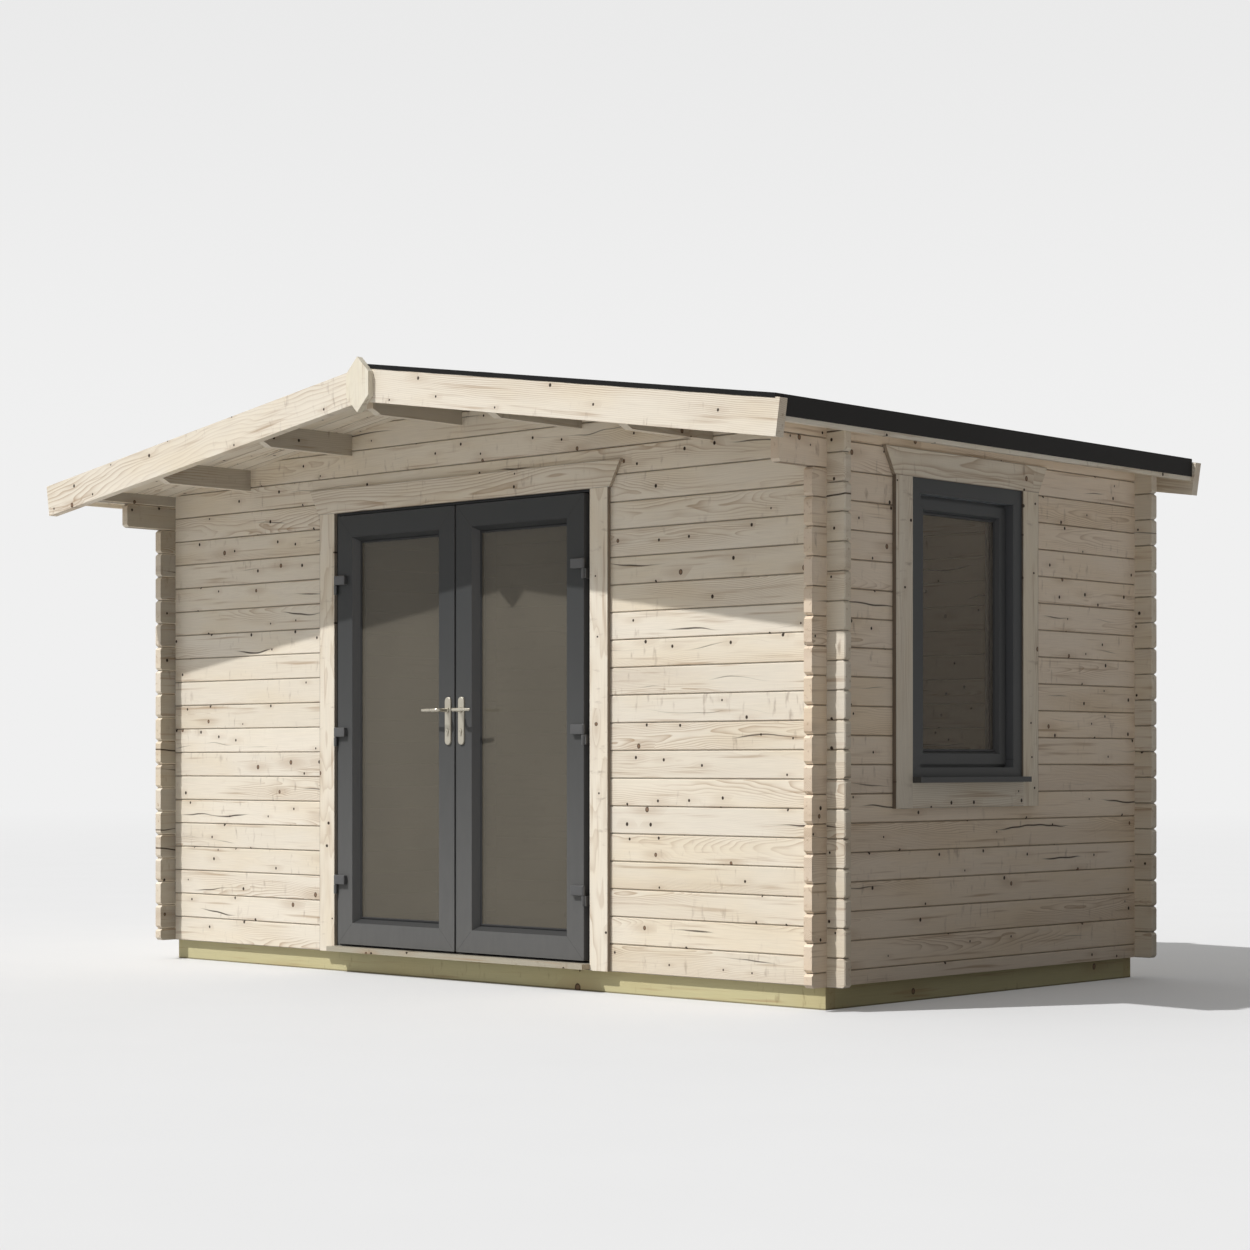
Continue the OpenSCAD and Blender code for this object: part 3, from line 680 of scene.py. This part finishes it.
class CABIN_OT_stage(Operator):
    """Floor, light from all round, sun and camera"""

    bl_idname = "cabin.stage"
    bl_label = "Stage"

    def pale_floor(self, p):
        """A matt floor that turns into the background far away. Near by, a tenth of it as the camera and
        reflections see it glows in the background colour: painted light that lifts the shadows on it. On its
        right side it gives the cabin less light close by and more from farther off."""
        g = Graph("pale_floor")
        x, y, _ = g.place()
        mottle = g.noise(x * 1.5, y * 1.5, 0.0, 3.0)
        tone = g.scale(tuple(p.floor_colour), (mottle - 0.5) * 0.03 + 1.0)
        held = x.rise(1.6, 2.6) * 0.50 - x.rise(3.4, 6.0) * 0.60 + 0.28
        bounce = 1.0 - g.ray("Diffuse") * held
        matt = g.node("BsdfDiffuse", {0: g.scale(tone, bounce)})
        glow = g.node("Emission", {0: (*p.back_colour, 1.0), 1: 1.0})
        # painted light: at least a tenth of the floor seen by the camera glows, which lightens its shadows
        away = g.hypot(x, y).rise(14.0, 45.0) * 0.9 + 0.1
        seen = g.most(g.ray("Camera"), g.ray("Glossy"))
        return g.finish(g.node("MixShader", {0: away * seen, 1: matt, 2: glow}))

    def studio(self, p):
        """A world that lights from the left and is seen as a plain background, a little darker high up."""
        g = Graph("studio", bpy.data.worlds.new("studio"))
        x, y, z = g.generated()
        level = 1.0 - x * 0.92 - y * 0.06
        lit = g.node("Background", {0: (1.0, 1.0, 1.0, 1.0), 1: level * p.sky_strength})
        plain = g.node("Background", {0: (*p.back_colour, 1.0), 1: 1.0 - z.rise(0.10, 0.32) * 0.06})
        seen = g.most(g.most(g.ray("Camera"), g.ray("Glossy")), g.ray("Transmission"))
        return g.finish(g.node("MixShader", {0: seen, 1: lit, 2: plain}), "World")

    def execute(self, context):
        p = context.scene.cabin_stage
        scene = context.scene
        scene.view_settings.view_transform = "Standard"

        far = FLOOR_REACH
        corners = [(-far, -far, 0.0), (far, -far, 0.0), (far, far, 0.0), (-far, far, 0.0)]
        mesh = bpy.data.meshes.new("floor_sheet")
        mesh.from_pydata(corners, [], [(0, 1, 2, 3)])
        ground = bpy.data.objects.new("floor_sheet", mesh)
        scene.collection.objects.link(ground)
        mesh.materials.append(self.pale_floor(p))
        scene.world = self.studio(p)

        lamp = bpy.data.lights.new("sun", "SUN")
        lamp.energy = p.sun_strength
        lamp.angle = p.sun_spread
        sun = bpy.data.objects.new("sun", lamp)
        sun.rotation_euler = Vector(SUN_DIRECTION).to_track_quat("-Z", "Y").to_euler()
        scene.collection.objects.link(sun)

        lens = bpy.data.cameras.new("camera")
        lens.lens = p.lens
        lens.sensor_width = 36.0
        lens.shift_y = CAMERA_RISE
        lens.clip_end = 200.0
        camera = bpy.data.objects.new("camera", lens)
        camera.location = CAMERA_PLACE
        camera.rotation_euler = (math.radians(90.0), 0.0, CAMERA_TURN)
        scene.collection.objects.link(camera)
        scene.camera = camera
        return {"FINISHED"}


class CABIN_OT_walls(Operator):
    """Spruce on the log walls"""

    bl_idname = "cabin.walls"
    bl_label = "Log walls"

    def execute(self, context):
        joint = context.scene.cabin_timber.joint_width
        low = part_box("front_wall_left")[0]
        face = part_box("right_wall")[1].x
        front = dict(along=X, across=Z, pitch=COURSE, start=low.z, depth=low.y, joint=joint)
        dress(wood("logs_front_left", seed=1.0, **front), "front_wall_left")
        dress(wood("logs_front_right", seed=2.6, **front), "front_wall_right")
        dress(wood("logs_gable", seed=4.3, **front), "front_wall_gable")
        dress(wood("logs_back", seed=6.1, **{**front, "depth": -low.y}), "back_wall")
        side = dict(along=Y, across=Z, pitch=COURSE, start=low.z - COURSE / 2, joint=joint)
        # painted shade colour: the right wall stands in shade and gets a warmer tint than the other logs
        dress(wood("logs_right", seed=8.2, depth=-face, tint=paint(240, 224, 204), **side), "right_wall")
        # shade paints shade on the faces that look right, here the stubs' sides
        dress(wood("logs_left", seed=9.7, depth=face, shade=0.48, **side), "left_wall")
        return {"FINISHED"}


class CABIN_OT_base(Operator):
    """Treated bearers and joists, and the floor boards"""

    bl_idname = "cabin.base"
    bl_label = "Base and floor"

    def execute(self, context):
        green = tuple(context.scene.cabin_timber.treated_colour)
        # foot paints a contact shadow on the bearers and joists at the ground
        sawn = dict(pitch=ONE_BOARD, start=-1.0, tint=green, knotty=0.3, grain=0.8, stout=1.7, foot=0.6)
        dress(wood("bearers", X, Z, depth=-1.1, seed=11.0, **sawn), "base_bearers")
        dress(wood("joists", Y, Z, depth=-2.0, seed=12.3, **sawn), "base_joists")
        dress(wood("floor_boards", X, Y, FLOOR_BOARD, 0.0, 0.11, 13.1, joint=0.002), "floor")
        return {"FINISHED"}


class CABIN_OT_roof(Operator):
    """Spruce on the roof timbers, insulation and felt"""

    bl_idname = "cabin.roof"
    bl_label = "Roof"

    def execute(self, context):
        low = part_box("right_roof_boards")[0]
        for side, name in ((1, "right"), (-1, "left")):
            down = (side * math.cos(SLOPE), 0.0, -math.sin(SLOPE))
            up = (side * math.sin(SLOPE), 0.0, math.cos(SLOPE))
            looks = {
                "_roof_boards": wood(name + "_boards", down, Y, ROOF_BOARD, low.y, 2.5, 15.0 + side,
                                     joint=0.003, knotty=0.8),
                "_barge_boards": wood(name + "_barge", down, up, ONE_BOARD, -0.4, -1.67, 18.3 + side * 1.7,
                                      flame=0.35),
                "_fascia": wood(name + "_eaves", Y, Z, ONE_BOARD, 0.0, -side * 2.26, 21.0 + side),
                # shade paints shade on the purlins' faces that look right
                "_purlins": wood(name + "_purlin", Y, Z, ONE_BOARD, 0.3, 0.9, 24.0 + side,
                                 flame=0.4, shade=0.42),
            }
            for node, look in looks.items():
                dress(look, name + node)
        # shade paints shade on the ridge's faces that look right
        dress(wood("ridge", Y, Z, ONE_BOARD, 0.0, 0.02, 27.0, shade=0.42), "ridge_purlin")
        dress(wood("finial_wood", Z, X, ONE_BOARD, -1.5, -1.69, 51.0, tint=paint(232, 226, 211),
                   knotty=0.0, grain=0.4), "finials")
        dress(foam("insulation_board"), "roof_insulation")
        dress(felted("mineral_felt"), "left_roof_felt", "right_roof_felt")
        return {"FINISHED"}


class CABIN_OT_trims(Operator):
    """Spruce boards round the doors and the window"""

    bl_idname = "cabin.trims"
    bl_label = "Trim boards"

    def execute(self, context):
        def trim(name, node, along, across, pitch, start, depth, seed, **look):
            """Dresses a trim, with a fine painted shadow line along both edges of its box."""
            lines = tuple(corner[across.index(1)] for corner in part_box(node))
            dress(wood(name, along, across, pitch, start, depth, seed, lines=lines, **look), node)

        # edge paints shade on the trims' sawn edges
        trim("door_sides", "door_side_trims", Z, X, 1.72, 0.0, -1.128, 31.0, edge=0.6, flame=0.45)
        trim("door_head", "door_head_trim", X, Z, ONE_BOARD, 0.65, -1.128, 33.4, edge=0.6, flame=0.9)
        trim("window_sides", "window_side_trims", Z, Y, 0.6, -0.502, 2.07, 35.2, edge=0.8, flame=0.5)
        trim("window_head", "window_head_trim", Y, Z, ONE_BOARD, 0.65, -2.07, 37.1, edge=0.8, flame=0.9)
        trim("window_foot", "window_apron", Y, Z, ONE_BOARD, 0.2, -2.07, 39.9, edge=0.8, flame=0.5)
        return {"FINISHED"}


class CABIN_OT_joinery(Operator):
    """Paint on the door and window frames, leaves, threshold and sill"""

    bl_idname = "cabin.joinery"
    bl_label = "Painted joinery"

    def execute(self, context):
        finish = context.scene.cabin_finish
        tone = tuple(finish.paint_colour)
        dress(painted("anthracite", tone), "door_frame", "window_sill")
        # painted light and shade: bead faces that look right, into the shade, are painted lighter, and those
        # that look up into the sun darker
        bead_face_light = ((X, paint(112, 112, 112)), (Z, paint(52, 52, 52)))
        dress(painted("anthracite_leaf", tone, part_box("right_door_leaf"), bead_face_light),
              "left_door_leaf", "right_door_leaf")

        # painted light: the window on the shaded right wall gets the door paint made lighter
        window_paint_lifted = tuple(c * 1.22 for c in tone)
        forward, under = (0, -1, 0), (0, 0, -1)
        # painted light: the reveals that look forward and down, deep in shade, get lighter colours of their
        # own
        painted_face_light = {
            "window_frame": ((forward, paint(117, 119, 122)), (under, paint(150, 155, 160))),
            "window_sash": ((forward, paint(101, 102, 103)), (under, paint(92, 94, 96))),
        }
        for name, face_light_tones in painted_face_light.items():
            dress(painted("anthracite_" + name, window_paint_lifted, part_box(name), face_light_tones), name)

        # edge paints a little shade on the threshold's edges
        dress(wood("threshold_board", X, Z, ONE_BOARD, 0.8, -1.17, 41.3, tint=paint(172, 165, 148),
                   edge=0.1), "door_threshold")
        # painted light: the window glass on the shaded right wall gets a paler coat than the door glass
        brown, grey = tuple(finish.glass_colour), tuple(finish.window_colour)
        dress(glazing("door_pane", finish.door_veil, brown, paint(234, 230, 221)),
              "left_door_glass", "right_door_glass")
        dress(glazing("window_pane", finish.window_veil, grey, paint(252, 250, 246)), "window_glass")
        return {"FINISHED"}


class CABIN_OT_gaskets(Operator):
    """Black rubber round the glass of the doors and the window, on both faces"""

    bl_idname = "cabin.gaskets"
    bl_label = "Gaskets"

    def execute(self, context):
        p = context.scene.cabin_sizes
        black = rubber("black_rubber")
        for name, body in (("left_door", "left_door"), ("right_door", "right_door"), ("window", "cabin")):
            low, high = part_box(name + "_glass")
            middle = (low + high) / 2
            half = (high - low) / 2
            thin_x = half.x < half.y
            long, flat = (half.y, Y) if thin_x else (half.x, X)
            strips = []
            for sign in (-1, 1):
                outside = (sign < 0) != thin_x
                strip = rim_strip(long, half.z, p.gasket_width, p.gasket_height if outside else 0.0025)
                out = tuple(sign * c for c in (X if thin_x else Y))
                face = middle + Vector(out) * (half.x if thin_x else half.y)
                strips.append(to(strip, face, flat, Z, out))
            piece(name + "_gasket", together(*strips), black, body)
        return {"FINISHED"}


class CABIN_OT_hinges(Operator):
    """Three flag hinges on each door: knuckle, flag and cover on the leaf, knuckle and arm on the frame"""

    bl_idname = "cabin.hinges"
    bl_label = "Hinges"

    def execute(self, context):
        coat = metal("hinge_coat", tuple(context.scene.cabin_finish.hinge_colour), 0.34, 0.1)
        axis = {j["name"]: j["pos_m"] for j in frame["joints"]}
        tall = context.scene.cabin_sizes.hinge_half
        low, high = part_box("left_hinge_flags")
        leaf_low, leaf_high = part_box("left_door_leaf")
        rows = (low.z, (leaf_low.z + leaf_high.z - tall) / 2 - 0.010, high.z - tall)
        radius, play = 0.008, 0.001
        cap = turned([0, 0.006, 0.0045, 0], [0, 0, 0.002, 0.0026])
        flag = pad(0.036, tall / 2, 0.004, 0.018, 0.0035)
        fixed = []
        for side, name in ((-1, "left"), (1, "right")):
            x, y, _ = axis[name + "_door_hinge"]
            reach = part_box("front_wall_left")[0].y - y
            arm = pad(reach / 2, tall / 2, 0.002, 0.013, 0.001)
            leaf = []
            for z in rows:
                leaf.append(to(barrel(radius, z, z + tall), (x, y, 0), X, Y, Z))
                leaf.append(to(cap, (x, y, z + tall - 0.0002), X, Y, Z))
                leaf.append(to(flag, (x - side * 0.032, leaf_low.y, z + tall / 2), X, Z, (0, -1, 0)))
                base = z - play - tall
                fixed.append(to(barrel(radius, base, base + tall), (x, y, 0), X, Y, Z))
                fixed.append(to(arm, (x + side * 0.001, y + reach / 2, base + tall / 2), Y, Z, (side, 0, 0)))
            flags = piece(name + "_flags", together(*leaf), coat, name + "_door")
            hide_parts(name + "_hinge_flags")
        knuckles = piece("frame_knuckles", together(*fixed), coat, "cabin")
        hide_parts("hinge_pins")
        return {"FINISHED"}


class CABIN_OT_handles(Operator):
    """Long handle plates with lock cylinders on both faces of each leaf, and the levers"""

    bl_idname = "cabin.handles"
    bl_label = "Handles"

    def execute(self, context):
        tone = tuple(context.scene.cabin_finish.metal_colour)
        satin = metal("satin_plate", tone, 0.36, 0.55)
        bright = metal("satin_lever", tone, 0.28, 0.65, X)
        dark = rubber("key_slot")
        lock_drop, lock_high = 0.092, 0.0045
        lock = pad(0.005, 0.0165, 0.005, 0.0035, 0.001, -0.003)
        drum = turned([0, 0.0085, 0.0085, 0.0075, 0], [-0.003, -0.003, 0.0035, lock_high, lock_high])
        slot = pad(0.0007, 0.0042, 0.0007, 0.0002, 0.0001, -0.001)
        collar = turned([0, 0.0125, 0.0125, 0.0115, 0.0095, 0], [0, 0, 0.003, 0.0045, 0.005, 0.005])
        for side, name in ((-1, "left"), (1, "right")):
            low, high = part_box(name + "_handle_plates")
            leaf_low, leaf_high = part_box(name + "_door_leaf")
            lever_low, lever_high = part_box(name + "_lever")
            x, _, z = next(j["pos_m"] for j in frame["joints"] if j["name"] == name + "_lever_turn")
            wide, tall = (high.x - low.x) / 2, (high.z - low.z) / 2
            thick = leaf_low.y - low.y
            reach = leaf_low.y - lever_low.y - 0.008
            run = lever_high.x - lever_low.x - 0.016
            key = z - lock_drop
            sheet = pad(wide, tall, wide, thick, 0.0045)
            plates, slots, levers = [], [], []
            for out, face in ((-1, leaf_low.y), (1, leaf_high.y)):
                axes = (X, Z, (0, out, 0))
                front = face + out * thick
                plates.append(to(sheet, ((low.x + high.x) / 2, face, (low.z + high.z) / 2), *axes))
                plates.append(to(lock, (x, front, key - 0.004), *axes))
                plates.append(to(drum, (x, front, key), *axes))
                slots.append(to(slot, (x, face + out * (thick + lock_high), key), *axes))
                levers.append(to(collar, (x, face + out * (thick + 0.0012), z), *axes))
                path, half = lever_path(thick + 0.002, reach, run)
                path = np.array([x, face, z]) + path * np.array([side, out, 1.0])
                levers.append(bar(path, half * 0.86, half, Z))
            body = name + "_door"
            plate = piece(name + "_plates", together(*plates), satin, body)
            piece(name + "_key_slots", together(*slots), dark, body)
            lever = piece(name + "_handle", together(*levers), bright, name + "_handle")
            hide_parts(name + "_handle_plates")
            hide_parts(name + "_lever")
        return {"FINISHED"}


class CABIN_OT_felt(Operator):
    """Sheets of felt laid along the roof, each lapped over the one below, a strip over the ridge, and an
    edging over the front barge board on the right"""

    bl_idname = "cabin.felt"
    bl_label = "Felt sheets"

    def execute(self, context):
        p = context.scene.cabin_sizes
        grit = felted("felt_sheet")
        low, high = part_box("right_roof_felt")
        whole = high.x / math.cos(SLOPE) - 0.001
        self.sheets(low, high, whole, p.felt_cover, p.felt_sheet, grit)
        self.edging(low, high, whole, p.felt_sheet, grit)
        return {"FINISHED"}

    def sheets(self, low, high, whole, cover, thick, grit):
        """Height over the roof: one sheet, two over a lap and over the ridge, and faint waves that die out
        at the ridge and the eaves. The surface is a function of the place down the slope and along it."""
        laps = [whole - cover * 2, whole - cover]
        stops = np.unique(np.concatenate([
            [0.0, whole], np.linspace(0.02, whole - 0.02, 40), [0.165, 0.1699, 0.17],
            *[[lap - 0.10, lap - 0.08, lap - 0.04, lap - 1e-4, lap] for lap in laps],
        ]))
        level = thick + 0 * stops
        for lap in laps:
            level = level + thick * np.clip((stops - lap + 0.10) / 0.02, 0.0, 1.0) * (stops < lap)
        level = level + thick * (stops < 0.17) * np.clip((0.175 - stops) / 0.005, 0.0, 1.0)
        y = np.linspace(low.y, high.y, 90)
        rows = np.concatenate([y[:1], y, y[-1:]])[:, None]
        closed = np.concatenate([[0.0], np.ones(len(y)), [0.0]])[:, None]
        for side, name in ((1, "right"), (-1, "left")):
            wave = (np.sin(rows * 9.1 + stops * 3.3 + side) * np.sin(stops * 7.0 + rows * 2.1)
                    * np.clip(stops * 4, 0, 1) * np.clip((whole - stops) * 4, 0, 1))
            top = (level + 0.0006 * wave) * closed
            foot = -0.0006 * closed + 0 * stops
            over = np.concatenate([top, foot[:, ::-1]], 1)
            x, z = on_slope(np.concatenate([stops, stops[::-1]]), over, high.z)
            grid = np.stack([side * x, np.broadcast_to(rows, x.shape), z], -1)
            piece(name + "_felt_sheets", skin(grid), grit, "cabin", 30.0)

    def edging(self, low, high, whole, thick, grit):
        """An L shaped profile, over the top of the board and a few millimetres down its face, carried down
        the slope. Its lower edge waves a little, and its ends close on the middle of the profile."""
        board_low, board_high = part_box("right_barge_boards")
        sunk = (board_high.z - high.z) * math.cos(SLOPE)
        s = np.concatenate([[0.0], np.linspace(0.0, whole, 60), [whole]])
        full = np.concatenate([[0.0], np.ones(60), [0.0]])[:, None]
        drip = sunk - 0.0045 + 0.0005 * np.sin(s * 23.0)
        middle = (sunk + thick) / 2
        face, inner, back = board_low.y - 0.0015, board_low.y + 0.001, low.y + 0.002
        corners = [(face, drip), (face, thick - 0.001), (face + 0.001, thick), (back, thick),
                   (back, sunk - 0.001), (inner, sunk - 0.001), (inner, drip)]
        n = middle + (np.stack([level + 0 * s for _, level in corners], 1) - middle) * full
        y = low.y + (np.array([place for place, _ in corners]) - low.y) * full
        x, z = on_slope(s[:, None], n, high.z)
        piece("right_felt_edging", skin(np.stack([x, y, z], -1)), grit, "cabin", 30.0)


OPERATORS = (
    CABIN_OT_stage, CABIN_OT_walls, CABIN_OT_base, CABIN_OT_roof, CABIN_OT_trims, CABIN_OT_joinery,
    CABIN_OT_gaskets, CABIN_OT_hinges, CABIN_OT_handles, CABIN_OT_felt,
)


class CABIN_PT_panel(Panel):
    """Buttons for every group of pieces, and their settings"""

    bl_idname = "CABIN_PT_panel"
    bl_label = "Log Cabin"
    bl_space_type = "VIEW_3D"
    bl_region_type = "UI"
    bl_category = "Cabin"

    def draw(self, context):
        for kind in OPERATORS:
            self.layout.operator(kind.bl_idname)
        for group in (getattr(context.scene, name) for name in GROUPS):
            box = self.layout.box()
            for name in group.__annotations__:
                box.prop(group, name)


GROUPS = {
    "cabin_timber": CabinTimber,
    "cabin_finish": CabinFinish,
    "cabin_sizes": CabinSizes,
    "cabin_stage": CabinStage,
}
CLASSES = (*GROUPS.values(), *OPERATORS, CABIN_PT_panel)


def register():
    """Makes the classes known, and gives each scene the settings."""
    for kind in CLASSES:
        bpy.utils.register_class(kind)
    for name, kind in GROUPS.items():
        setattr(bpy.types.Scene, name, PointerProperty(type=kind))


def unregister():
    """Takes the settings and the classes away again."""
    for name in GROUPS:
        delattr(bpy.types.Scene, name)
    for kind in reversed(CLASSES):
        bpy.utils.unregister_class(kind)


def main():
    """Makes every group of pieces in order."""
    register()
    bpy.ops.cabin.stage()
    bpy.ops.cabin.walls()
    bpy.ops.cabin.base()
    bpy.ops.cabin.roof()
    bpy.ops.cabin.trims()
    bpy.ops.cabin.joinery()
    bpy.ops.cabin.gaskets()
    bpy.ops.cabin.hinges()
    bpy.ops.cabin.handles()
    bpy.ops.cabin.felt()


if __name__ == "__main__":
    main()
